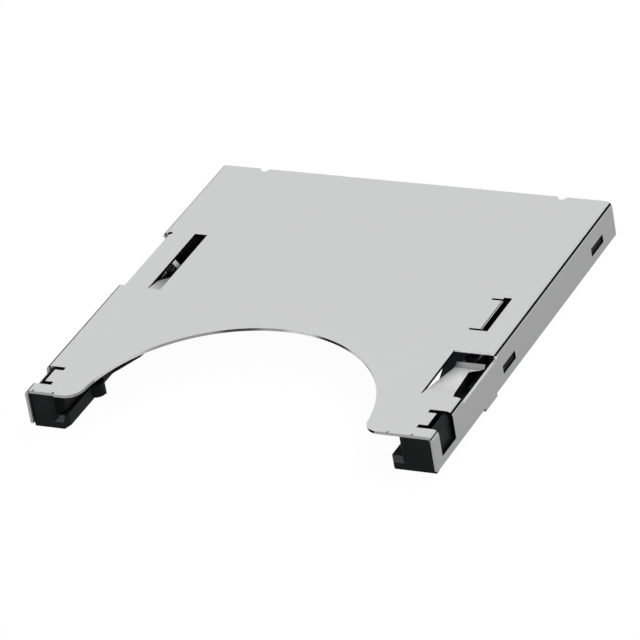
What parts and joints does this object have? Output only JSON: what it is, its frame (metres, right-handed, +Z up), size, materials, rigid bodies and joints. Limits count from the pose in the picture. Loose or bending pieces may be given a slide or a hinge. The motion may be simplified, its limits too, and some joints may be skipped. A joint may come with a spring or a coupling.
{
  "type": "sd card socket",
  "caption": "Low folded steel socket for a full-size memory card: a push latches the card, a second push lets it out.",
  "frame": {"origin": "middle of the footprint, on the board plane", "axes": "+X to the right seen from the card mouth, +Y from the card mouth towards the contacts, +Z up from the board"},
  "size_m": [0.0288, 0.0304, 0.0027],
  "materials": {
    "cover_steel": "smooth rolled stainless sheet, satin",
    "housing_plastic": "moulded black, fine satin grain",
    "slider_plastic": "moulded black, fine satin grain",
    "spring_steel": "bright drawn spring steel",
    "contact_metal": "thin gold plate on the formed strip"
  },
  "bodies": {
    "frame": {"shell": "cover_steel", "housing": "housing_plastic", "eject_spring": "spring_steel", "contact_1": "contact_metal", "contact_2": "contact_metal", "contact_3": "contact_metal", "contact_4": "contact_metal", "contact_5": "contact_metal", "contact_6": "contact_metal", "contact_7": "contact_metal", "contact_8": "contact_metal", "contact_9": "contact_metal", "detect_spring": "contact_metal", "write_protect_spring": "contact_metal", "switch_terminal": "contact_metal"},
    "carriage": {"slider": "slider_plastic", "card_lock": "spring_steel"},
    "latch_wire": {"cam_pin": "spring_steel"}
  },
  "joints": [
    {"name": "slider_slide", "type": "slide", "parent": "frame", "child": "carriage", "axis": [0, 1, 0], "range_m": [0, 0.0058], "stiffness_N_per_m": 100, "springref_m": -0.004, "deforming": ["eject_spring"]},
    {"name": "cam_pin_swing", "type": "hinge", "parent": "frame", "child": "latch_wire", "pos_m": [0.01263, -0.0095, 0.001], "axis": [0, 0, 1], "range_deg": [-6.15, 0]}
  ]
}
